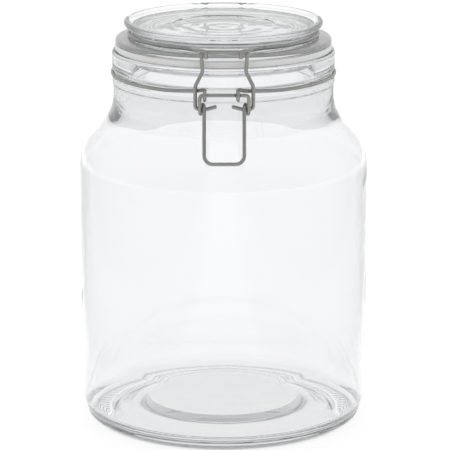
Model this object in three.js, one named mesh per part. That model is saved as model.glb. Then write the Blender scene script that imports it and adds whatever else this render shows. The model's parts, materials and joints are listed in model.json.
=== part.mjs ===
// A clip top storage jar: a round glass jar, a glass lid with its seal, and the wire clip and hinge.
// Millimetres, +Z up, the jar's axis on Z, its foot at z = 0, the clip at the front (-Y).
import * as THREE from 'three';

// Jar glass: radii and heights of its parts, and the radii of its bends
const BODY_R = 72;
const BODY_WALL = 2.7;
const FOOT_R = 64;
const FOOT_INNER_R = 56;
const FOOT_HOLLOW = 3.2;
const HEEL_R = FOOT_R + 5;
const HEEL_Z = 2.2;
const CURVE_R = BODY_R - 0.8;
const CURVE_Z = 11;
const SIDE_Z = 36;
const FLOOR_CORNER_Z = 3.4;
const FLOOR_Z = 7;
const FLOOR_EDGE_R = 45.5;
const FLOOR_RISE = 2.6;
const FLOOR_RISE_R = 37.5;
const SHOULDER_Z = 137;
const SHOULDER_SLOPE = THREE.MathUtils.degToRad(40);
const SHOULDER_WALL = 3;
const NECK_R = 54.9;
const NECK_WALL = 4.1;
const NECK_STEP_Z = 167.2;
const MOUTH_R = 46;
const BEAD_R = 55.4;
const BEAD_Z = [171.2, 174.8];
const BEAD_SLANT = 0.6;
const GROOVE_R = 53.8;
const RIM_R = 55.4;
const RIM_Z = [177.4, 187.6];
const RIM_SLANT = 1.1;
const BEND = {
  hollow: 6,
  footInner: 2,
  foot: 3,
  heel: 2.5,
  curve: 20,
  side: 60,
  shoulder: 22,
  neck: 21,
  bead: 0.5,
  rimLow: 1,
  rimHigh: 1.4,
  mouth: 1.6,
  step: 5,
  innerNeck: 24,
  innerShoulder: 19,
  floorCorner: 5.5,
  floor: 14,
  floorRise: 4,
};

// Lid glass and seal
const LID_TOP_Z = 202.4;
const LID_TOP_R = 49.4;
const LID_EDGE_DROP = 2.2;
const LID_EDGE_WIDTH = 2.8;
const LID_WAIST_R = 45.5;
const LID_WAIST_HEIGHT = 2.5;
const FLANGE_R = 53.8;
const FLANGE_Z = [190.9, 194.6];
const FLANGE_SLANT = 1;
const PLUG_R = 43.9;
const PLUG_Z = 181.8;
const PLUG_WALL = 5.2;
const PLUG_TAPER = 0.4;
const LID_GLASS = 5.2;
const PANEL_Z = 200;
const PANEL_EDGE_R = 44.8;
const PANEL_R = 25;
const PANEL_STEP = 0.5;
const LID_BEND = { under: 5, plug: 1.7, flange: 0.8, edge: 1.2, panel: 2, step: 0.4 };
const SEAL_Z = [187.9, 190.6];
const SEAL_R = [46.3, 53.8];
const SEAL_BEND = 0.9;

// Wire clip and hinge
const WIRE_R = 0.9;
const LID_BAND = { r: 46.9, z: 195.8, from: 254.5, to: 115 };
const HOOK_X = -8.35;
const HOOK_DROP = 2.4;
const HOOK_RISE = 0.5;
const HOOK_REACH = 1.1;
const HOOK_BEND = 2;
const NECK_BAND = { r: 55.2, z: 176.2, from: 239.5, to: 105.2 };
const NECK_LEAD = [-23, -50.45];
const NECK_LEAD_RISE = 0.3;
const NECK_LEAD_BEND = 20;
const NECK_CLIMB = 1.1;
const NECK_CLIMB_X = 4.6;
const NECK_CLIMB_BEND = 8;
const HINGE = { y: 58, z: 193.4 };
const HINGE_ARM = [-13.5, 53.6];
const HINGE_BEND = 3;
const RISER_X = -10.1;
const COIL_WIDTH = 2.2;
const NECK_EYE_R = 2.15;
const NECK_EYES_X = -1;
const NECK_EYES_HALF = 8;
const NECK_EYE_ENDS = [325, 90];
const NECK_EYE_RISE = 2;
const NECK_EYE_BEND = 1.6;
const LEVER_EYE_R = 2.28;
const LEVER_PIVOT = { y: -60, z: 176.1 };
const LINK_PIVOT = { y: LEVER_PIVOT.y + LEVER_EYE_R, z: 168.9 };
const LINK_BAR = { y: -56.65, z: 196.6 };
const CLIP_X = 0.4;
const LEVER_ARM = 11.8;
const LEVER_LEG = 9.6;
const LEVER_BUTT_X = 7;
const HANDLE_LEAN = 18;
const HANDLE_Z = 144.2;
const HANDLE_BEND = 4.2;
const LINK_STUB = 3.7;
const LINK_STUB_RISE = 1.3;
const LINK_STUB_BEND_X = 8.2;
const LINK_LEG = 13.9;
const LINK_WAIST = 10.4;
const LINK_SHOULDER = 11.1;
const LINK_NECK_Z = [180, 187];
const HARD_BEND = 1.5;
const TIGHT_BEND = 1.8;
const EASY_BEND = 4;
const GAP = 0.35;

// Fineness of the faceted solids
const AROUND = 48;
const WIRE_SIDES = 8;
const PROFILE_SAG = 0.24;
const WIRE_SAG = 0.14;

const GLASS = new THREE.MeshStandardMaterial({
  color: 0xeef1f3, roughness: 0.05, metalness: 0, transparent: true, opacity: 0.35,
});
const SILICONE = new THREE.MeshStandardMaterial({ color: 0xdcdedd, roughness: 0.45, metalness: 0 });
const STEEL = new THREE.MeshStandardMaterial({ color: 0x8f8f88, roughness: 0.4, metalness: 0.9 });

// The largest turn that keeps a chord within the given sag of its arc.
function arcStep(radius, sag) {
  return 2 * Math.acos(1 - Math.min(sag / radius, 0.3));
}

// The points of an arc that rounds the corner at `here`, between its neighbours.
function roundCorner(before, here, after, radius, sag) {
  const back = before.clone().sub(here).normalize();
  const ahead = after.clone().sub(here).normalize();
  const half = back.angleTo(ahead) / 2;
  const middle = back.clone().add(ahead).normalize();
  const centre = here.clone().addScaledVector(middle, radius / Math.sin(half));
  const start = here.clone().addScaledVector(back, radius / Math.tan(half));
  const outward = start.sub(centre);
  const onward = back.multiplyScalar(-radius);
  const sweep = Math.PI - 2 * half;
  const count = Math.max(1, Math.ceil(sweep / arcStep(radius, sag)));
  return Array.from({ length: count + 1 }, (_, i) => {
    const angle = (sweep * i) / count;
    return centre.clone()
      .addScaledVector(outward, Math.cos(angle))
      .addScaledVector(onward, Math.sin(angle));
  });
}

// Joins corners by straight lines; a corner [x, y, z, radius] with a radius becomes an arc.
function rounded(corners, sag = WIRE_SAG) {
  const at = corners.map(([x, y, z]) => new THREE.Vector3(x, y, z));
  return corners.flatMap(([, , , radius], i) => (
    radius ? roundCorner(at[i - 1], at[i], at[i + 1], radius, sag) : [at[i]]
  ));
}

// A solid of revolution about Z from corners [r, z, radius].
function turned(name, corners, material) {
  const outline = rounded(corners.map(([r, z, radius]) => [r, z, 0, radius]), PROFILE_SAG);
  const profile = outline.map((p) => new THREE.Vector2(Math.max(p.x, 0), p.y));
  const mesh = new THREE.Mesh(new THREE.LatheGeometry(profile, AROUND), material);
  mesh.name = name;
  mesh.rotation.x = Math.PI / 2;
  return mesh;
}

// A wire's centre line through stations, which lie closer together in its tight bends.
class CentreLine extends THREE.Curve {
  constructor(stations) {
    super();
    this.stations = stations;
  }

  getPointAt(u, target = new THREE.Vector3()) {
    const last = this.stations.length - 1;
    return target.copy(this.stations[Math.round(u * last)]);
  }

  getTangentAt(u, target = new THREE.Vector3()) {
    const last = this.stations.length - 1;
    const i = Math.round(u * last);
    const into = this.stations[i].clone().sub(this.stations[Math.max(i - 1, 0)]).normalize();
    const out = this.stations[Math.min(i + 1, last)].clone().sub(this.stations[i]).normalize();
    return target.copy(into.add(out)).normalize();
  }
}

// A bent round wire along stations.
function wire(name, stations, material) {
  const section = new THREE.Shape(Array.from({ length: WIRE_SIDES }, (_, i) => {
    const angle = (2 * Math.PI * i) / WIRE_SIDES;
    return new THREE.Vector2(WIRE_R * Math.cos(angle), WIRE_R * Math.sin(angle));
  }));
  const geometry = new THREE.ExtrudeGeometry(section, {
    steps: stations.length - 1,
    extrudePath: new CentreLine(stations),
    bevelEnabled: false,
  });
  const mesh = new THREE.Mesh(geometry, material);
  mesh.name = name;
  return mesh;
}

// A level arc about the jar's axis; angles in degrees from +X.
function ring(r, z, from, to) {
  const sweep = THREE.MathUtils.degToRad(to - from);
  const count = Math.ceil(Math.abs(sweep) / arcStep(r, WIRE_SAG));
  return Array.from({ length: count + 1 }, (_, i) => {
    const angle = THREE.MathUtils.degToRad(from) + (sweep * i) / count;
    return new THREE.Vector3(r * Math.cos(angle), r * Math.sin(angle), z);
  });
}

// A wire eye wound about a pivot parallel to X, moving sideways from x0 to x1.
// Angles in degrees: 0 is behind the pivot, 90 above it, 180 in front.
function eye(pivot, radius, x0, x1, from, to) {
  const count = Math.ceil(Math.abs(THREE.MathUtils.degToRad(to - from)) / arcStep(radius, WIRE_SAG));
  return Array.from({ length: count + 1 }, (_, i) => {
    const part = i / count;
    const angle = THREE.MathUtils.degToRad(from + (to - from) * part);
    return new THREE.Vector3(
      x0 + (x1 - x0) * part,
      pivot.y + radius * Math.cos(angle),
      pivot.z + radius * Math.sin(angle),
    );
  });
}

// The same stations mirrored across the plane x = middle, in the opposite order.
function mirrored(stations, middle = 0) {
  return stations.map((p) => new THREE.Vector3(2 * middle - p.x, p.y, p.z)).reverse();
}

function glassJar() {
  const slope = Math.tan(SHOULDER_SLOPE);
  const innerR = BODY_R - BODY_WALL;
  const innerNeckR = NECK_R - NECK_WALL;
  const innerShift = SHOULDER_WALL / Math.cos(SHOULDER_SLOPE);
  const shoulderAt = (r) => SHOULDER_Z + (BODY_R - r) / slope;
  const innerAt = (r) => SHOULDER_Z + (BODY_R - innerShift - r) / slope;
  const [beadLow, beadHigh] = BEAD_Z;
  const [rimLow, rimHigh] = RIM_Z;
  const outside = [
    [0, FOOT_HOLLOW],
    [FOOT_INNER_R - BEND.hollow, FOOT_HOLLOW, BEND.hollow],
    [FOOT_INNER_R, 0, BEND.footInner],
    [FOOT_R, 0, BEND.foot],
    [HEEL_R, HEEL_Z, BEND.heel],
    [CURVE_R, CURVE_Z, BEND.curve],
    [BODY_R, SIDE_Z, BEND.side],
    [BODY_R, SHOULDER_Z, BEND.shoulder],
    [NECK_R, shoulderAt(NECK_R), BEND.neck],
    [NECK_R, beadLow],
    [BEAD_R, beadLow + BEAD_SLANT, BEND.bead],
    [BEAD_R, beadHigh - BEAD_SLANT, BEND.bead],
    [GROOVE_R, beadHigh],
    [GROOVE_R, rimLow],
    [RIM_R, rimLow + RIM_SLANT, BEND.rimLow],
    [RIM_R, rimHigh, BEND.rimHigh],
  ];
  const inside = [
    [MOUTH_R, rimHigh, BEND.mouth],
    [MOUTH_R, beadHigh, BEND.step],
    [innerNeckR, NECK_STEP_Z, BEND.step],
    [innerNeckR, innerAt(innerNeckR), BEND.innerNeck],
    [innerR, innerAt(innerR), BEND.innerShoulder],
    [innerR, FLOOR_CORNER_Z, BEND.floorCorner],
    [FLOOR_EDGE_R, FLOOR_Z, BEND.floor],
    [FLOOR_RISE_R, FLOOR_Z + FLOOR_RISE, BEND.floorRise],
    [0, FLOOR_Z + FLOOR_RISE],
  ];
  return turned('glass_jar', [...outside, ...inside], GLASS);
}

function glassLid() {
  const [flangeLow, flangeHigh] = FLANGE_Z;
  const underR = PLUG_R - PLUG_WALL;
  const underZ = PANEL_Z - LID_GLASS;
  const waistZ = flangeHigh + LID_WAIST_HEIGHT;
  const under = [
    [0, underZ],
    [underR - PLUG_TAPER, underZ, LID_BEND.under],
    [underR, PLUG_Z, LID_BEND.plug],
    [PLUG_R, PLUG_Z, LID_BEND.plug],
    [PLUG_R + PLUG_TAPER, flangeLow],
    [FLANGE_R, flangeLow, LID_BEND.flange],
    [FLANGE_R, flangeHigh - FLANGE_SLANT, LID_BEND.flange],
  ];
  const over = [
    [LID_WAIST_R, flangeHigh],
    [LID_WAIST_R, waistZ, LID_BEND.step],
    [LID_TOP_R, LID_TOP_Z - LID_EDGE_DROP, LID_BEND.edge],
    [LID_TOP_R, LID_TOP_Z, LID_BEND.edge],
    [LID_TOP_R - LID_EDGE_WIDTH, LID_TOP_Z, LID_BEND.edge],
    [PANEL_EDGE_R, PANEL_Z, LID_BEND.panel],
    [PANEL_R + PANEL_STEP, PANEL_Z],
    [PANEL_R, PANEL_Z - PANEL_STEP],
    [0, PANEL_Z - PANEL_STEP],
  ];
  return turned('glass_lid', [...under, ...over], GLASS);
}

function sealRing() {
  const [inner, outer] = SEAL_R;
  const [low, high] = SEAL_Z;
  const middle = (low + high) / 2;
  return turned('seal_ring', [
    [inner, middle],
    [inner, low, SEAL_BEND],
    [outer, low, SEAL_BEND],
    [outer, high, SEAL_BEND],
    [inner, high, SEAL_BEND],
    [inner, middle],
  ], SILICONE);
}

// One wire in the lid's waist: its ends reach over the lid's edge, and behind it is the hinge bar.
function lidBand() {
  const { r, z, from, to } = LID_BAND;
  const edgeY = LINK_BAR.y + 2 * WIRE_R + GAP;
  const around = ring(r, z, from, to);
  const front = around[0];
  const back = around[around.length - 1];
  const hook = rounded([
    [HOOK_X, edgeY, z - HOOK_DROP],
    [HOOK_X, edgeY, z + HOOK_RISE, HARD_BEND],
    [HOOK_X, front.y - HOOK_REACH, z, HOOK_BEND],
    [front.x, front.y, z],
  ]);
  const hingeArm = rounded([
    [back.x, back.y, z],
    [back.x + TIGHT_BEND, back.y + TIGHT_BEND, z, HINGE_BEND],
    [...HINGE_ARM, z, EASY_BEND],
    [HINGE_ARM[0], HINGE.y, HINGE.z, TIGHT_BEND],
    [0, HINGE.y, HINGE.z],
  ]);
  const half = [...hook.slice(0, -1), ...around, ...hingeArm.slice(1)];
  return wire('lid_band', [...half.slice(0, -1), ...mirrored(half)], STEEL);
}

// One wire in the neck's groove: eyes in front hold the lever, eyes behind hold the hinge bar.
function neckBand() {
  const { r, z, from, to } = NECK_BAND;
  const clearR = RIM_R + WIRE_R + GAP;
  const riserY = HINGE.y - NECK_EYE_R;
  const coilX = RISER_X + COIL_WIDTH;
  const around = ring(r, z, from, to);
  const start = around[0];
  const end = around[around.length - 1];
  const frontEnd = (eyeX) => {
    const loop = eye(LEVER_PIVOT, NECK_EYE_R, eyeX, eyeX, ...NECK_EYE_ENDS);
    const top = loop[loop.length - 1];
    const climbX = eyeX - NECK_CLIMB_X;
    const lead = rounded([
      [top.x, top.y, top.z],
      [eyeX, -clearR, LEVER_PIVOT.z + NECK_EYE_RISE, NECK_EYE_BEND],
      [climbX, -Math.sqrt(clearR ** 2 - climbX ** 2), z + NECK_CLIMB, NECK_CLIMB_BEND],
      [...NECK_LEAD, z + NECK_LEAD_RISE, NECK_LEAD_BEND],
      [start.x, start.y, z],
    ]);
    return [...loop.slice(0, -1), ...lead.slice(0, -1)];
  };
  const rearCoil = eye(HINGE, NECK_EYE_R, RISER_X, coilX, 180, -90);
  const riser = rounded([
    [end.x, end.y, z],
    [RISER_X, riserY, z + NECK_CLIMB, TIGHT_BEND],
    [RISER_X, riserY, HINGE.z],
  ]);
  const bridgeY = HINGE.y - TIGHT_BEND;
  const bridgeZ = HINGE.z - NECK_EYE_R;
  const bridge = rounded([
    [coilX, HINGE.y, bridgeZ],
    [coilX, bridgeY, bridgeZ, HARD_BEND],
    [0, bridgeY, bridgeZ],
  ]);
  const rear = [...riser.slice(1, -1), ...rearCoil.slice(0, -1), ...bridge.slice(0, -1)];
  const half = (eyeX) => [...frontEnd(eyeX), ...around, ...rear];
  const left = half(NECK_EYES_X - NECK_EYES_HALF);
  const right = half(-NECK_EYES_X - NECK_EYES_HALF);
  return wire('neck_band', [...left, ...mirrored(right)], STEEL);
}

// The lever's wire: a bar through the neck band's eyes, an eye round each link end, and the handle.
function lever() {
  const armX = CLIP_X - LEVER_ARM;
  const legX = CLIP_X - LEVER_LEG;
  const lean = THREE.MathUtils.degToRad(HANDLE_LEAN);
  const around = eye(LINK_PIVOT, LEVER_EYE_R, armX, legX, 180, 540 - HANDLE_LEAN);
  const leave = around[around.length - 1];
  const footY = leave.y - Math.tan(lean) * (leave.z - HANDLE_Z);
  const arm = rounded([
    [LEVER_BUTT_X, LEVER_PIVOT.y, LEVER_PIVOT.z],
    [armX, LEVER_PIVOT.y, LEVER_PIVOT.z, TIGHT_BEND],
    [armX, LEVER_PIVOT.y, LINK_PIVOT.z],
  ]);
  const leg = rounded([
    [leave.x, leave.y, leave.z],
    [legX, footY, HANDLE_Z, HANDLE_BEND],
    [CLIP_X, footY, HANDLE_Z],
  ]);
  const half = [...arm.slice(1, -1), ...around, ...leg.slice(1)];
  const butt = (x) => new THREE.Vector3(x, LEVER_PIVOT.y, LEVER_PIVOT.z);
  const loop = [...half.slice(0, -1), ...mirrored(half, CLIP_X)];
  return wire('clip_lever', [butt(LEVER_BUTT_X), ...loop, butt(LEVER_BUTT_X + GAP)], STEEL);
}

// The link: a swan-necked wire whose bar meets the lid band's ends, and whose ends turn in the lever.
function link() {
  const { y, z } = LINK_PIVOT;
  const yAt = (height) => y + ((LINK_BAR.y - y) * (height - z)) / (LINK_BAR.z - z);
  const [shoulderZ, waistZ] = LINK_NECK_Z;
  const half = rounded([
    [CLIP_X - LINK_STUB, y, z + LINK_STUB_RISE],
    [CLIP_X - LINK_STUB_BEND_X, y, z, EASY_BEND],
    [CLIP_X - LINK_LEG, y, z, TIGHT_BEND],
    [CLIP_X - LINK_LEG, yAt(shoulderZ), shoulderZ, EASY_BEND],
    [CLIP_X - LINK_WAIST, yAt(waistZ), waistZ, EASY_BEND],
    [CLIP_X - LINK_SHOULDER, LINK_BAR.y, LINK_BAR.z, TIGHT_BEND],
    [CLIP_X, LINK_BAR.y, LINK_BAR.z],
  ]);
  return wire('clip_link', [...half.slice(0, -1), ...mirrored(half, CLIP_X)], STEEL);
}

const jar = new THREE.Group();
jar.add(glassJar(), glassLid(), sealRing(), lidBand(), neckBand(), lever(), link());

export default jar;
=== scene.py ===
"""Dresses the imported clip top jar: smooth glass, a translucent seal ring and satin steel wire."""
import json
import math

import bpy
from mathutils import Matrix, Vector


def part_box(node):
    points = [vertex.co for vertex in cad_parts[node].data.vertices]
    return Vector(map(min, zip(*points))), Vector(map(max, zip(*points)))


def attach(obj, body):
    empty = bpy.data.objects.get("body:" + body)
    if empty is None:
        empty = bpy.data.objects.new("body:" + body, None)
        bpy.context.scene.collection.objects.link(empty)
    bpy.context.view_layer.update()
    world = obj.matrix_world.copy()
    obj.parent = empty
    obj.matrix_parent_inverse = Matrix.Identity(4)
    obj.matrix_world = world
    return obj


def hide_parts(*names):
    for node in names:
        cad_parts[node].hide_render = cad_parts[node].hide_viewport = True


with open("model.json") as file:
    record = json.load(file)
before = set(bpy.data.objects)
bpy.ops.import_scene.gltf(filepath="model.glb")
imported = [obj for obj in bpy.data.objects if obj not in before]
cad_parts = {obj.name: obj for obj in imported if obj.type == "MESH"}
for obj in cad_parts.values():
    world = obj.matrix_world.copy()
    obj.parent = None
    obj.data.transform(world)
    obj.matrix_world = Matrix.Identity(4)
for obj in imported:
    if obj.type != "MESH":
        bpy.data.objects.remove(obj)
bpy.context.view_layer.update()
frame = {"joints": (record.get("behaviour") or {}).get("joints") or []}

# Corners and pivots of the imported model, in metres
JAR_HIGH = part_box("glass_jar")[1]
LID_LOW, LID_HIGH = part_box("glass_lid")
SEAL_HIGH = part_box("seal_ring")[1]
PIVOTS = {joint["name"]: Vector(joint["pos_m"]) for joint in frame["joints"]}

# Jar glass: radii and heights of its parts, and the radii of its bends
BODY_R = JAR_HIGH.x
BODY_WALL = 0.0027
FOOT_R = 0.064
FOOT_INNER_R = 0.056
FOOT_HOLLOW = 0.0022
FOOT_HOLLOW_R = FOOT_INNER_R - 0.004
FOOT_PUSH = 0.0028
FOOT_PUSH_R = 0.041
HEEL_R = FOOT_R + 0.005
HEEL_Z = 0.0022
CURVE_R = BODY_R - 0.0008
CURVE_Z = 0.011
SIDE_Z = 0.036
FLOOR_CORNER_Z = 0.0034
FLOOR_Z = 0.007
FLOOR_EDGE_R = 0.0455
FLOOR_RISE = 0.0026
FLOOR_RISE_R = 0.0375
SHOULDER_Z = 0.137
SHOULDER_SLOPE = math.radians(40)
SHOULDER_WALL = 0.003
NECK_R = 0.0549
NECK_INNER_R = 0.0498
MOUTH_R = 0.046
MOUTH_LOW_Z = 0.177
BEAD_R = 0.0554
BEAD_Z = (0.1712, 0.1748)
BEAD_SLANT = 0.0006
GROOVE_R = 0.0538
RIM_R = 0.0554
RIM_LOW_Z = 0.1774
RIM_SLANT = 0.0011
BEND = {
    "push": 0.020,
    "hollow": 0.004,
    "foot_inner": 0.002,
    "foot": 0.003,
    "heel": 0.0025,
    "curve": 0.020,
    "side": 0.060,
    "shoulder": 0.022,
    "neck": 0.021,
    "bead_root": 0.0004,
    "bead": 0.0005,
    "groove": 0.0003,
    "rim_root": 0.0004,
    "rim_low": 0.001,
    "rim_high": 0.0014,
    "mouth": 0.0016,
    "mouth_low": 0.012,
    "inner_neck": 0.024,
    "inner_shoulder": 0.019,
    "floor_corner": 0.0055,
    "floor_edge": 0.014,
    "floor_rise": 0.0016,
}

# Radial ridges on the ring that the jar stands on
RIDGES = 112
RIDGE_DEPTH = 0.00035
RIDGE_R = (0.0572, 0.0628)
RIDGE_HIGH_Z = HEEL_Z / 3

# Lid glass, with faint ripples under its panel
LID_TOP_R = 0.0494
LID_EDGE_DROP = 0.0022
LID_EDGE_WIDTH = 0.0028
LID_WAIST_R = 0.0455
LID_WAIST_HEIGHT = 0.0025
FLANGE_R = LID_HIGH.x
FLANGE_Z = (0.1909, 0.1946)
FLANGE_SLANT = 0.001
PLUG_R = 0.0439
PLUG_WALL = 0.0052
PLUG_TAPER = 0.0004
LID_GLASS = 0.0052
PANEL_Z = 0.200
PANEL_EDGE_R = 0.0448
PANEL_R = 0.025
PANEL_STEP = 0.0005
RIPPLES = 4
RIPPLE_DEPTH = 0.00006
LID_BEND = {
    "ripple": 0.004,
    "under": 0.005,
    "plug": 0.0017,
    "flange_low": 0.0005,
    "flange_high": 0.0016,
    "waist_low": 0.0004,
    "waist_high": 0.0005,
    "edge_low": 0.0013,
    "edge_high": 0.0011,
    "edge_inner": 0.0012,
    "panel": 0.002,
    "step": 0.0003,
}

# Seal ring
SEAL_INNER_R = 0.0463
SEAL_SQUEEZE = 0.00005
SEAL_BEND = 0.0009
SEAL_HARD_BEND = SEAL_BEND / 4

# Wire clip and hinge
WIRE_R = 0.0009
GAP = 0.00035
HARD_BEND = 0.0015
TIGHT_BEND = 0.0018
EASY_BEND = 0.004
LID_BAND = {"r": 0.0469, "z": 0.1958, "start": 246, "end": 115}
HOOK_X = -0.0083
HOOK_SIDE_X = -0.0127
HOOK_Y = -0.0588
HOOK_Z = 0.1977
HOOK_TIP_Z = 0.1935
HOOK_DIP = 0.0004
HOOK_BEND = 0.0016
HOOK_LEAD = (0.0020, -0.0012)
HOOK_LEAD_BEND = 0.008
NECK_BAND = {"r": 0.0552, "z": 0.1762, "start": 239.5, "end": 105.2}
NECK_LEAD = (-0.023, -0.05045)
NECK_LEAD_RISE = 0.0003
NECK_LEAD_BEND = 0.020
NECK_CLIMB = 0.0011
NECK_CLIMB_X = 0.0046
NECK_CLIMB_BEND = 0.008
NECK_EYE_R = 0.00215
NECK_EYES_X = -0.001
NECK_EYES_HALF = 0.008
NECK_EYE_ENDS = (325, 90)
NECK_EYE_RISE = 0.002
NECK_EYE_BEND = 0.0016
HINGE = PIVOTS["lid_hinge"]
HINGE_ARM = (-0.0135, 0.0536)
HINGE_BEND = 0.003
RISER_X = -0.0101
COIL_WIDTH = 0.0022
LEVER_PIVOT = PIVOTS["lever_pivot"]
LEVER_EYE_R = 0.00228
LEVER_ARM = 0.0118
LEVER_LEG = 0.0096
LEVER_BUTT_X = 0.007
CLIP_X = 0.0004
HANDLE_LEAN = 18
HANDLE_Z = 0.1442
HANDLE_BEND = 0.0042
LINK_PIVOT = PIVOTS["link_pivot"]
LINK_BAR = Vector((0, -0.05665, 0.1966))
LINK_STUB = 0.0037
LINK_STUB_RISE = 0.0013
LINK_STUB_BEND_X = 0.0082
LINK_LEG = 0.0139
LINK_WAIST = 0.0104
LINK_SHOULDER = 0.0111
LINK_NECK_Z = (0.180, 0.187)

# Directions about a pivot that is parallel to X, in degrees
BELOW = -90
IN_FRONT = 180
FULL_TURN = 360

# Fineness of the meshes: sides round an axis, fewest steps, and how far a chord may lie from its arc
JAR_SIDES = 5 * RIDGES
LID_SIDES = 320
SEAL_SIDES = 240
WIRE_SIDES = 20
BEARING_STEPS = 8
BEND_STEPS = 2
PROFILE_SAG = 0.00001
WIRE_SAG = 0.00001
SAG_LIMIT = 0.3

# A long straight gets a support near each end, and points that touch are one
SUPPORT = 0.0004
LONG_STRAIGHT = 4 * SUPPORT
TOUCH = 0.00001

# The rounded end of a wire: each section's size and its place along the end, as parts of the whole
WIRE_END = [(0.55, 0.0), (0.85, 0.35), (1.0, 1.0)]
WIRE_END_LENGTH = 0.4 * WIRE_R


def arc_step(radius, sag):
    """The largest turn that keeps a chord within the given sag of its arc."""
    return 2 * math.acos(1 - min(sag / radius, SAG_LIMIT))


def round_corner(before, here, after, radius, sag):
    """The points of an arc that rounds the corner at here, between its neighbours."""
    back = (before - here).normalized()
    ahead = (after - here).normalized()
    half = back.angle(ahead) / 2
    centre = here + (back + ahead).normalized() * (radius / math.sin(half))
    outward = here + back * (radius / math.tan(half)) - centre
    onward = back * -radius
    sweep = math.pi - 2 * half
    count = max(BEND_STEPS, math.ceil(sweep / arc_step(radius, sag)))
    turns = [sweep * i / count for i in range(count + 1)]
    return [centre + outward * math.cos(a) + onward * math.sin(a) for a in turns]


def rounded(corners, sag=WIRE_SAG):
    """Joins corners by straight lines; a corner (x, y, z, radius) becomes an arc."""
    at = [Vector(corner[:3]) for corner in corners]
    points = []
    for i, corner in enumerate(corners):
        radius = corner[3] if len(corner) > 3 else 0
        if radius:
            points += round_corner(at[i - 1], at[i], at[i + 1], radius, sag)
        else:
            points.append(at[i])
    return points


def supported(points):
    """Adds a point just inside each end of a long straight, so that its shading stays flat."""
    result = [points[0]]
    for before, here in zip(points, points[1:]):
        run = here - before
        if run.length > LONG_STRAIGHT:
            step = run.normalized() * SUPPORT
            result += [before + step, here - step]
        result.append(here)
    return result


def turned(corners, sides, relief=None):
    """Vertices and faces of a solid of revolution from corners (r, z, radius)."""
    flat = [(r, 0, z, *radius) for r, z, *radius in corners]
    profile = supported(rounded(flat, PROFILE_SAG))
    closed = (profile[0] - profile[-1]).length < TOUCH
    if closed:
        profile.pop()
    vertices = []
    rows = []
    for point in profile:
        if point.x < TOUCH:
            rows.append([len(vertices)] * sides)
            vertices.append((0, 0, point.z))
            continue
        rows.append(list(range(len(vertices), len(vertices) + sides)))
        for i in range(sides):
            angle = 2 * math.pi * i / sides
            lift = relief(point.x, point.z, angle) if relief else 0
            vertices.append((point.x * math.cos(angle), point.x * math.sin(angle), point.z + lift))
    following = rows[1:] + rows[:1] if closed else rows[1:]
    faces = []
    for low, high in zip(rows, following):
        for i in range(sides):
            j = (i + 1) % sides
            # A row on the axis is one vertex, so its faces have three corners
            distinct = dict.fromkeys([low[i], low[j], high[j], high[i]])
            faces.append(list(distinct))
    return vertices, faces


def tube(stations):
    """Vertices and faces of a round wire along stations, with rounded ends."""
    last = len(stations) - 1
    tangents = []
    for i in range(last + 1):
        before = stations[max(i - 1, 0)]
        after = stations[min(i + 1, last)]
        tangents.append((after - before).normalized())
    side = tangents[0].orthogonal().normalized()
    vertices = []
    for i, (station, tangent) in enumerate(zip(stations, tangents)):
        if i:
            side = tangents[i - 1].rotation_difference(tangent) @ side
        side = (side - tangent * side.dot(tangent)).normalized()
        across = tangent.cross(side)
        sections = [(1.0, 0.0)]
        if i == 0:
            sections = WIRE_END
        elif i == last:
            sections = [(size, -inset) for size, inset in reversed(WIRE_END)]
        for size, inset in sections:
            middle = station + tangent * inset * WIRE_END_LENGTH
            for k in range(WIRE_SIDES):
                angle = 2 * math.pi * k / WIRE_SIDES
                around = side * math.cos(angle) + across * math.sin(angle)
                vertices.append(middle + around * WIRE_R * size)
    last_ring = len(vertices) - WIRE_SIDES
    faces = []
    for start in range(0, last_ring, WIRE_SIDES):
        for k in range(WIRE_SIDES):
            here = start + k
            beside = start + (k + 1) % WIRE_SIDES
            faces.append([here, beside, beside + WIRE_SIDES, here + WIRE_SIDES])
    faces.append(list(reversed(range(WIRE_SIDES))))
    faces.append(list(range(last_ring, len(vertices))))
    return vertices, faces


def ring(r, z, start, end):
    """A level arc about the jar's axis; angles in degrees from +X."""
    sweep = math.radians(end - start)
    count = math.ceil(abs(sweep) / arc_step(r, WIRE_SAG))
    turns = [math.radians(start) + sweep * i / count for i in range(count + 1)]
    return [Vector((r * math.cos(a), r * math.sin(a), z)) for a in turns]


def eye(pivot, radius, x0, x1, start, end):
    """A wire eye wound about a pivot parallel to X, moving sideways from x0 to x1.

    Angles in degrees: 0 is behind the pivot and 90 above it.
    """
    count = math.ceil(abs(math.radians(end - start)) / arc_step(radius, WIRE_SAG))
    points = []
    for i in range(count + 1):
        part = i / count
        angle = math.radians(start + (end - start) * part)
        x = x0 + (x1 - x0) * part
        points.append(Vector((x, pivot.y + radius * math.cos(angle), pivot.z + radius * math.sin(angle))))
    return points


def mirrored(stations, middle=0.0):
    """The same stations mirrored across the plane x = middle, in the opposite order."""
    return [Vector((2 * middle - p.x, p.y, p.z)) for p in reversed(stations)]


def placed(name, data):
    """A new object in the scene that holds the given data."""
    obj = bpy.data.objects.new(name, data)
    bpy.context.scene.collection.objects.link(obj)
    return obj


def piece(name, shape, body, node, material):
    """A smooth mesh that stands for a CAD node and rides on its body."""
    vertices, faces = shape
    mesh = bpy.data.meshes.new(name)
    mesh.from_pydata(vertices, [], faces)
    mesh.validate()
    mesh.shade_smooth()
    mesh.materials.append(material)
    obj = placed(name, mesh)
    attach(obj, body)
    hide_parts(node)


def ridge_relief(r, z, angle):
    """How far the ridges lift a point of the jar's outside."""
    inner, outer = RIDGE_R
    if z > RIDGE_HIGH_Z or not inner < r < outer:
        return 0
    fade = math.sin(math.pi * (r - inner) / (outer - inner))
    return RIDGE_DEPTH * fade * (0.5 - 0.5 * math.cos(RIDGES * angle))


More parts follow.
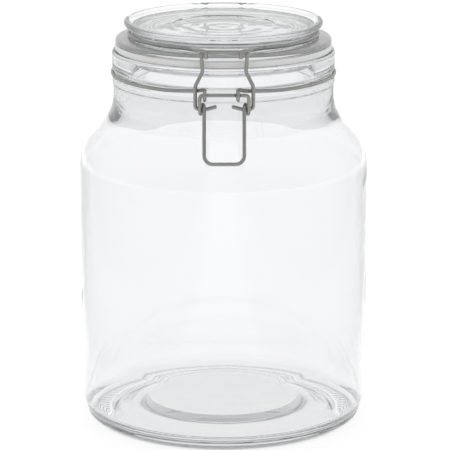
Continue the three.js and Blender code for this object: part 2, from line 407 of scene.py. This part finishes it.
def glass_jar(material):
    """The jar: up the outside from the middle of its foot, and down the inside to its floor."""
    slope = math.tan(SHOULDER_SLOPE)
    inner_r = BODY_R - BODY_WALL
    inner_shift = SHOULDER_WALL / math.cos(SHOULDER_SLOPE)
    push_z = FOOT_HOLLOW + FOOT_PUSH
    rise_z = FLOOR_Z + FLOOR_RISE
    bead_low, bead_high = BEAD_Z
    rim_z = JAR_HIGH.z

    def shoulder_at(r):
        return SHOULDER_Z + (BODY_R - r) / slope

    def inner_at(r):
        return SHOULDER_Z + (BODY_R - inner_shift - r) / slope

    ridge_inner, ridge_outer = RIDGE_R
    foot_step = (ridge_outer - ridge_inner) / BEARING_STEPS
    bearing = [(ridge_inner + foot_step * i, 0) for i in range(BEARING_STEPS + 1)]
    outside = [
        (0, push_z),
        (FOOT_PUSH_R, push_z, BEND["push"]),
        (FOOT_HOLLOW_R, FOOT_HOLLOW, BEND["hollow"]),
        (FOOT_INNER_R, 0, BEND["foot_inner"]),
        *bearing,
        (FOOT_R, 0, BEND["foot"]),
        (HEEL_R, HEEL_Z, BEND["heel"]),
        (CURVE_R, CURVE_Z, BEND["curve"]),
        (BODY_R, SIDE_Z, BEND["side"]),
        (BODY_R, SHOULDER_Z, BEND["shoulder"]),
        (NECK_R, shoulder_at(NECK_R), BEND["neck"]),
        (NECK_R, bead_low, BEND["bead_root"]),
        (BEAD_R, bead_low + BEAD_SLANT, BEND["bead"]),
        (BEAD_R, bead_high - BEAD_SLANT, BEND["bead"]),
        (GROOVE_R, bead_high, BEND["groove"]),
        (GROOVE_R, RIM_LOW_Z, BEND["rim_root"]),
        (RIM_R, RIM_LOW_Z + RIM_SLANT, BEND["rim_low"]),
        (RIM_R, rim_z, BEND["rim_high"]),
    ]
    inside = [
        (MOUTH_R, rim_z, BEND["mouth"]),
        (MOUTH_R, MOUTH_LOW_Z, BEND["mouth_low"]),
        (NECK_INNER_R, inner_at(NECK_INNER_R), BEND["inner_neck"]),
        (inner_r, inner_at(inner_r), BEND["inner_shoulder"]),
        (inner_r, FLOOR_CORNER_Z, BEND["floor_corner"]),
        (FLOOR_EDGE_R, FLOOR_Z, BEND["floor_edge"]),
        (FLOOR_RISE_R, rise_z, BEND["floor_rise"]),
        (0, rise_z),
    ]
    shape = turned(outside + inside, JAR_SIDES, ridge_relief)
    piece("jar_glass", shape, "jar", "glass_jar", material)


def glass_lid(material):
    """The lid: its hollow plug and flange below, its waist, raised lip and panel above."""
    under_r = PLUG_R - PLUG_WALL
    under_z = PANEL_Z - LID_GLASS
    flange_low, flange_high = FLANGE_Z
    waist_z = flange_high + LID_WAIST_HEIGHT
    top_z = LID_HIGH.z
    plug_z = LID_LOW.z
    ripple_step = (under_r - PLUG_TAPER - LID_BEND["under"]) / RIPPLES / 2
    ripples = [
        (ripple_step * i, under_z + RIPPLE_DEPTH * (i % 2), LID_BEND["ripple"])
        for i in range(1, 2 * RIPPLES)
    ]
    under = [
        (0, under_z),
        *ripples,
        (under_r - PLUG_TAPER, under_z, LID_BEND["under"]),
        (under_r, plug_z, LID_BEND["plug"]),
        (PLUG_R, plug_z, LID_BEND["plug"]),
        (PLUG_R + PLUG_TAPER, flange_low, LID_BEND["flange_low"]),
        (FLANGE_R, flange_low, LID_BEND["flange_low"]),
        (FLANGE_R, flange_high - FLANGE_SLANT, LID_BEND["flange_high"]),
    ]
    over = [
        (LID_WAIST_R, flange_high, LID_BEND["waist_low"]),
        (LID_WAIST_R, waist_z, LID_BEND["waist_high"]),
        (LID_TOP_R, top_z - LID_EDGE_DROP, LID_BEND["edge_low"]),
        (LID_TOP_R, top_z, LID_BEND["edge_high"]),
        (LID_TOP_R - LID_EDGE_WIDTH, top_z, LID_BEND["edge_inner"]),
        (PANEL_EDGE_R, PANEL_Z, LID_BEND["panel"]),
        (PANEL_R + PANEL_STEP, PANEL_Z, LID_BEND["step"]),
        (PANEL_R, PANEL_Z - PANEL_STEP, LID_BEND["step"]),
        (0, PANEL_Z - PANEL_STEP),
    ]
    piece("lid_glass", turned(under + over, LID_SIDES), "lid", "glass_lid", material)


def seal_ring(material):
    """The flat ring that the lid's flange presses onto the jar's rim."""
    outer = SEAL_HIGH.x
    low = JAR_HIGH.z - SEAL_SQUEEZE
    high = FLANGE_Z[0] + SEAL_SQUEEZE
    middle = (low + high) / 2
    corners = [
        (SEAL_INNER_R, middle),
        (SEAL_INNER_R, low, SEAL_BEND),
        (outer, low, SEAL_BEND),
        (outer, high, SEAL_HARD_BEND),
        (SEAL_INNER_R, high, SEAL_BEND),
        (SEAL_INNER_R, middle),
    ]
    piece("seal", turned(corners, SEAL_SIDES), "lid", "seal_ring", material)


def lid_band(material):
    """One wire in the lid's waist, with a hook at each end in front and the hinge bar behind."""
    r, z = LID_BAND["r"], LID_BAND["z"]
    lead_x, lead_y = HOOK_LEAD
    around = ring(r, z, LID_BAND["start"], LID_BAND["end"])
    front, back = around[0], around[-1]
    hook = rounded([
        (HOOK_X, HOOK_Y, HOOK_TIP_Z),
        (HOOK_X, HOOK_Y, HOOK_Z - HOOK_DIP, HOOK_BEND),
        (HOOK_SIDE_X, HOOK_Y, HOOK_Z, HOOK_BEND),
        (front.x + lead_x, front.y + lead_y, z, HOOK_LEAD_BEND),
        (front.x, front.y, z),
    ])
    hinge_arm = rounded([
        (back.x, back.y, z),
        (back.x + TIGHT_BEND, back.y + TIGHT_BEND, z, HINGE_BEND),
        (*HINGE_ARM, z, EASY_BEND),
        (HINGE_ARM[0], HINGE.y, HINGE.z, TIGHT_BEND),
        (0, HINGE.y, HINGE.z),
    ])
    half = hook[:-1] + around + hinge_arm[1:]
    shape = tube(half[:-1] + mirrored(half))
    piece("lid_wire", shape, "lid", "lid_band", material)


def neck_band(material):
    """One wire in the neck's groove: eyes in front hold the lever, coils behind hold the hinge bar."""
    r, z = NECK_BAND["r"], NECK_BAND["z"]
    clear_r = RIM_R + WIRE_R + GAP
    riser_y = HINGE.y - NECK_EYE_R
    coil_x = RISER_X + COIL_WIDTH
    around = ring(r, z, NECK_BAND["start"], NECK_BAND["end"])
    start, end = around[0], around[-1]

    def front_end(eye_x):
        loop = eye(LEVER_PIVOT, NECK_EYE_R, eye_x, eye_x, *NECK_EYE_ENDS)
        climb_x = eye_x - NECK_CLIMB_X
        lead = rounded([
            tuple(loop[-1]),
            (eye_x, -clear_r, LEVER_PIVOT.z + NECK_EYE_RISE, NECK_EYE_BEND),
            (climb_x, -math.sqrt(clear_r ** 2 - climb_x ** 2), z + NECK_CLIMB, NECK_CLIMB_BEND),
            (*NECK_LEAD, z + NECK_LEAD_RISE, NECK_LEAD_BEND),
            tuple(start),
        ])
        return loop[:-1] + lead[:-1]

    riser = rounded([
        tuple(end),
        (RISER_X, riser_y, z + NECK_CLIMB, TIGHT_BEND),
        (RISER_X, riser_y, HINGE.z),
    ])
    rear_coil = eye(HINGE, NECK_EYE_R, RISER_X, coil_x, IN_FRONT, BELOW)
    bridge_y = HINGE.y - TIGHT_BEND
    bridge_z = HINGE.z - NECK_EYE_R
    bridge = rounded([
        (coil_x, HINGE.y, bridge_z),
        (coil_x, bridge_y, bridge_z, HARD_BEND),
        (0, bridge_y, bridge_z),
    ])
    rear = riser[1:-1] + rear_coil[:-1] + bridge[:-1]
    left = front_end(NECK_EYES_X - NECK_EYES_HALF) + around + rear
    right = front_end(-NECK_EYES_X - NECK_EYES_HALF) + around + rear
    piece("neck_wire", tube(left + mirrored(right)), "jar", "neck_band", material)


def clip_lever(material):
    """The lever's wire: a bar through the neck band's eyes, a coil round each link end, and the handle."""
    arm_x = CLIP_X - LEVER_ARM
    leg_x = CLIP_X - LEVER_LEG
    turn_end = IN_FRONT + FULL_TURN - HANDLE_LEAN
    around = eye(LINK_PIVOT, LEVER_EYE_R, arm_x, leg_x, IN_FRONT, turn_end)
    leave = around[-1]
    foot_y = leave.y - math.tan(math.radians(HANDLE_LEAN)) * (leave.z - HANDLE_Z)
    arm = rounded([
        (LEVER_BUTT_X, LEVER_PIVOT.y, LEVER_PIVOT.z),
        (arm_x, LEVER_PIVOT.y, LEVER_PIVOT.z, TIGHT_BEND),
        (arm_x, LEVER_PIVOT.y, LINK_PIVOT.z),
    ])
    leg = rounded([
        tuple(leave),
        (leg_x, foot_y, HANDLE_Z, HANDLE_BEND),
        (CLIP_X, foot_y, HANDLE_Z),
    ])
    half = arm[1:-1] + around + leg[1:]
    left_butt = Vector((LEVER_BUTT_X, LEVER_PIVOT.y, LEVER_PIVOT.z))
    right_butt = left_butt + Vector((GAP, 0, 0))
    shape = tube([left_butt] + half[:-1] + mirrored(half, CLIP_X) + [right_butt])
    piece("lever_wire", shape, "lever", "clip_lever", material)


def clip_link(material):
    """The swan-necked link: its ends turn in the lever's coils, and its bar meets the hooks."""
    y, z = LINK_PIVOT.y, LINK_PIVOT.z
    shoulder_z, waist_z = LINK_NECK_Z

    def y_at(height):
        return y + (LINK_BAR.y - y) * (height - z) / (LINK_BAR.z - z)

    half = rounded([
        (CLIP_X - LINK_STUB, y, z + LINK_STUB_RISE),
        (CLIP_X - LINK_STUB_BEND_X, y, z, EASY_BEND),
        (CLIP_X - LINK_LEG, y, z, TIGHT_BEND),
        (CLIP_X - LINK_LEG, y_at(shoulder_z), shoulder_z, EASY_BEND),
        (CLIP_X - LINK_WAIST, y_at(waist_z), waist_z, EASY_BEND),
        (CLIP_X - LINK_SHOULDER, LINK_BAR.y, LINK_BAR.z, TIGHT_BEND),
        (CLIP_X, LINK_BAR.y, LINK_BAR.z),
    ])
    shape = tube(half[:-1] + mirrored(half, CLIP_X))
    piece("link_wire", shape, "link", "clip_link", material)


# Clear glass
GLASS_COLOUR = (0.958, 0.959, 0.966, 1)
GLASS_IOR = 1.52
GLASS_DEPTH_COLOUR = (0.872, 0.88, 0.882, 1)
GLASS_DEPTH_DENSITY = 38.0
GLASS_WAVES = {"scale": 38.0, "detail": 1.0}
JAR_WAVE_HEIGHT = 0.00022
LID_WAVE_HEIGHT = 0.00018

# Milky silicone
SILICONE_COLOUR = (0.84, 0.84, 0.83, 1)
SILICONE_IOR = 1.41
SILICONE_ROUGHNESS = (0.38, 0.5)
SILICONE_GLOSS = {"scale": 900.0, "detail": 3.0}
SILICONE_GRAIN = {"scale": 2200.0, "detail": 2.0}
SILICONE_GRAIN_HEIGHT = 0.00002

# Satin steel
STEEL_DARK = (0.285, 0.285, 0.272, 1)
STEEL_PALE = (0.41, 0.41, 0.395, 1)
STEEL_ROUGHNESS = (0.3, 0.45)
STEEL_MOTTLE = {"scale": 260.0, "detail": 4.0, "roughness": 0.6}
STEEL_GLOSS = {"scale": 700.0, "detail": 3.0}
STEEL_GRAIN = {"scale": 2600.0, "detail": 3.0}
STEEL_GRAIN_HEIGHT = 0.00003


class Nodes:
    """Short calls that build a node tree; a value is a constant or another node's output."""

    def __init__(self, tree, place="Object"):
        self.tree = tree
        self.place = self.add("ShaderNodeTexCoord").outputs[place]

    def add(self, kind, **settings):
        """A new node with the given settings."""
        node = self.tree.nodes.new(kind)
        for key, value in settings.items():
            setattr(node, key, value)
        return node

    def feed(self, socket, value):
        """Sets a socket to a constant or links an output to it."""
        if isinstance(value, bpy.types.NodeSocket):
            self.tree.links.new(value, socket)
        else:
            socket.default_value = value

    def maths(self, operation, *values, kind="ShaderNodeMath"):
        """The number that a math node, or a vector math node, makes of its values."""
        node = self.add(kind, operation=operation)
        for socket, value in zip(node.inputs, values):
            self.feed(socket, value)
        return node.outputs["Value"]

    def distance(self, value, middle):
        """How far a value is from the middle."""
        return self.maths("ABSOLUTE", self.maths("SUBTRACT", value, middle))

    def ranged(self, value, start, end, results, shape="SMOOTHSTEP"):
        """Turns from the first result to the last as the value goes from start to end."""
        node = self.add("ShaderNodeMapRange", interpolation_type=shape)
        first, last = results
        self.feed(node.inputs["Value"], value)
        self.feed(node.inputs["From Min"], start)
        self.feed(node.inputs["From Max"], end)
        self.feed(node.inputs["To Min"], first)
        self.feed(node.inputs["To Max"], last)
        return node.outputs["Result"]

    def noise(self, scale, detail, roughness=0.5):
        """A noise that is fixed to the object, from 0 to 1."""
        node = self.add("ShaderNodeTexNoise")
        self.feed(node.inputs["Vector"], self.place)
        self.feed(node.inputs["Scale"], scale)
        self.feed(node.inputs["Detail"], detail)
        self.feed(node.inputs["Roughness"], roughness)
        return node.outputs["Fac"]


class Look(Nodes):
    """A material, with short calls for its shader."""

    def __init__(self, name):
        self.material = bpy.data.materials.new(name)
        self.material.use_nodes = True
        super().__init__(self.material.node_tree)
        self.shader = self.tree.nodes["Principled BSDF"]

    def set(self, **values):
        """Feeds the shader's sockets by name, with _ for a space."""
        for key, value in values.items():
            self.feed(self.shader.inputs[key.replace("_", " ")], value)

    def uneven(self, noise, results):
        """A value that wanders between two results with a noise."""
        return self.ranged(self.noise(**noise), 0, 1, results, "LINEAR")

    def bump(self, noise, height):
        """Relief of the given height from a noise."""
        node = self.add("ShaderNodeBump")
        self.feed(node.inputs["Height"], self.noise(**noise))
        self.feed(node.inputs["Distance"], height)
        self.set(Normal=node.outputs["Normal"])


def glass_material(name, wave_height):
    """Clear pressed glass, a little grey in its depth, with the faint waves of its mould."""
    look = Look(name)
    look.set(Base_Color=GLASS_COLOUR, Roughness=0.0, IOR=GLASS_IOR, Transmission_Weight=1.0)
    depth = look.add("ShaderNodeVolumeAbsorption")
    look.feed(depth.inputs["Color"], GLASS_DEPTH_COLOUR)
    look.feed(depth.inputs["Density"], GLASS_DEPTH_DENSITY)
    look.feed(look.tree.nodes["Material Output"].inputs["Volume"], depth.outputs["Volume"])
    look.bump(GLASS_WAVES, wave_height)
    return look.material


def silicone_material():
    """Milky silicone rubber with a fine satin skin."""
    look = Look("silicone")
    look.set(Base_Color=SILICONE_COLOUR, IOR=SILICONE_IOR)
    look.set(Roughness=look.uneven(SILICONE_GLOSS, SILICONE_ROUGHNESS))
    look.bump(SILICONE_GRAIN, SILICONE_GRAIN_HEIGHT)
    return look.material


def steel_material():
    """Satin drawn wire: a mottled grey with slightly uneven gloss."""
    look = Look("steel_wire")
    mottle = look.add("ShaderNodeMix", data_type="RGBA")
    look.feed(mottle.inputs["Factor"], look.noise(**STEEL_MOTTLE))
    look.feed(mottle.inputs["A"], STEEL_DARK)
    look.feed(mottle.inputs["B"], STEEL_PALE)
    look.set(Base_Color=mottle.outputs["Result"], Metallic=1.0)
    look.set(Roughness=look.uneven(STEEL_GLOSS, STEEL_ROUGHNESS))
    look.bump(STEEL_GRAIN, STEEL_GRAIN_HEIGHT)
    return look.material


# The photograph's camera, fitted to the jar's outline
CAMERA_PLACE = (0.00076, -1.4304, 0.4593)
CAMERA_DOWN = 14.21
CAMERA_NEAR = 0.05
SENSOR_MM = 36
FOCAL_PIXELS = 2926
PHOTO_PIXELS = 450

# The floor: it glows white, less so in a thin ring where the jar stands, which is a painted shadow under
# its heel
WHITE = (1, 1, 1, 1)
FLOOR_HALF = 4.0
FLOOR_COLOUR = (0.3, 0.3, 0.3, 1)
FLOOR_ROUGHNESS = 0.9
FLOOR_GLOW = 0.79
# Painted shadow: the floor's glow drops to this in a thin ring under the jar's heel
PAINTED_SHADOW_GLOW = 0.35
PAINTED_SHADOW_R = 0.064
PAINTED_SHADOW_WIDTH = 0.003

# The floor's wedge, which opens from below the camera: it is brighter than the floor on both its sides,
# as far as its reach, and beyond that the whole floor is as bright. The dimmer glow on both sides is
# painted shade
WEDGE_BACK = 1.45
WEDGE_MIDDLE = -0.004
WEDGE_SLANT = 0.08
WEDGE_FADE = 0.045
WEDGE_REACH = 0.9
WEDGE_REACH_FADE = 0.15
# The glow inside the wedge, and the dimmer painted shade on both its sides
WEDGE_PAINTED_LIGHT = (1.0, 0.68)

# The light all round: dim from the front, bright from behind and above
BRIGHT_TOWARDS = Vector((0.0, 0.85, 0.5)).normalized()
DIM_FACING = -0.5
BRIGHT_FACING = 0.35
STUDIO_LIGHT = (0.55, 0.92)
LIGHT_BOUNCES = 48
GLOSSY_BOUNCES = 24


def camera():
    """The camera of the photograph."""
    data = bpy.data.cameras.new("camera")
    data.sensor_width = SENSOR_MM
    data.lens = SENSOR_MM * FOCAL_PIXELS / PHOTO_PIXELS
    data.clip_start = CAMERA_NEAR
    obj = placed("camera", data)
    obj.location = CAMERA_PLACE
    obj.rotation_euler = (math.radians(90 - CAMERA_DOWN), 0, 0)
    bpy.context.scene.camera = obj


def floor_material():
    """Glowing white, a little dimmer on both sides of the wedge as painted shade, and darker in a thin ring
    under the jar's heel as a painted shadow.
    """
    look = Look("floor")
    away = look.maths("LENGTH", look.place, kind="ShaderNodeVectorMath")
    # Painted shadow: the glow is dimmed in a thin ring under the jar's heel
    painted_shadow_light = (PAINTED_SHADOW_GLOW, FLOOR_GLOW)
    painted_shadow = look.ranged(look.distance(away, PAINTED_SHADOW_R), 0, PAINTED_SHADOW_WIDTH, painted_shadow_light)
    place = look.add("ShaderNodeSeparateXYZ")
    look.feed(place.inputs["Vector"], look.place)
    # Painted shade: the glow is dimmer on both sides of the wedge, out to its reach
    aside = look.distance(place.outputs["X"], WEDGE_MIDDLE)
    slant = look.maths("DIVIDE", aside, look.maths("ADD", place.outputs["Y"], WEDGE_BACK))
    wedge = look.ranged(slant, WEDGE_SLANT, WEDGE_SLANT + WEDGE_FADE, WEDGE_PAINTED_LIGHT)
    beyond = look.ranged(away, WEDGE_REACH, WEDGE_REACH + WEDGE_REACH_FADE, (0, 1))
    glow = look.maths("MULTIPLY", painted_shadow, look.maths("MAXIMUM", wedge, beyond))
    look.set(Base_Color=FLOOR_COLOUR, Roughness=FLOOR_ROUGHNESS)
    look.set(Emission_Color=WHITE, Emission_Strength=glow)
    return look.material


def floor():
    """A wide plain floor."""
    half = FLOOR_HALF
    corners = [(-half, -half, 0), (half, -half, 0), (half, half, 0), (-half, half, 0)]
    mesh = bpy.data.meshes.new("floor")
    mesh.from_pydata(corners, [], [(0, 1, 2, 3)])
    mesh.materials.append(floor_material())
    placed("floor", mesh)


def studio():
    """White light from all round, and enough bounces to pass through all the glass."""
    world = bpy.data.worlds.new("studio")
    world.use_nodes = True
    nodes = Nodes(world.node_tree, "Generated")
    facing = nodes.maths("DOT_PRODUCT", nodes.place, BRIGHT_TOWARDS, kind="ShaderNodeVectorMath")
    background = nodes.tree.nodes["Background"]
    nodes.feed(background.inputs["Color"], WHITE)
    nodes.feed(background.inputs["Strength"], nodes.ranged(facing, DIM_FACING, BRIGHT_FACING, STUDIO_LIGHT))
    scene = bpy.context.scene
    scene.world = world
    scene.view_settings.view_transform = "Standard"
    scene.cycles.max_bounces = LIGHT_BOUNCES
    scene.cycles.transmission_bounces = LIGHT_BOUNCES
    scene.cycles.glossy_bounces = GLOSSY_BOUNCES


camera()
floor()
studio()
steel = steel_material()
glass_jar(glass_material("jar_glass", JAR_WAVE_HEIGHT))
glass_lid(glass_material("lid_glass", LID_WAVE_HEIGHT))
seal_ring(silicone_material())
lid_band(steel)
neck_band(steel)
clip_lever(steel)
clip_link(steel)
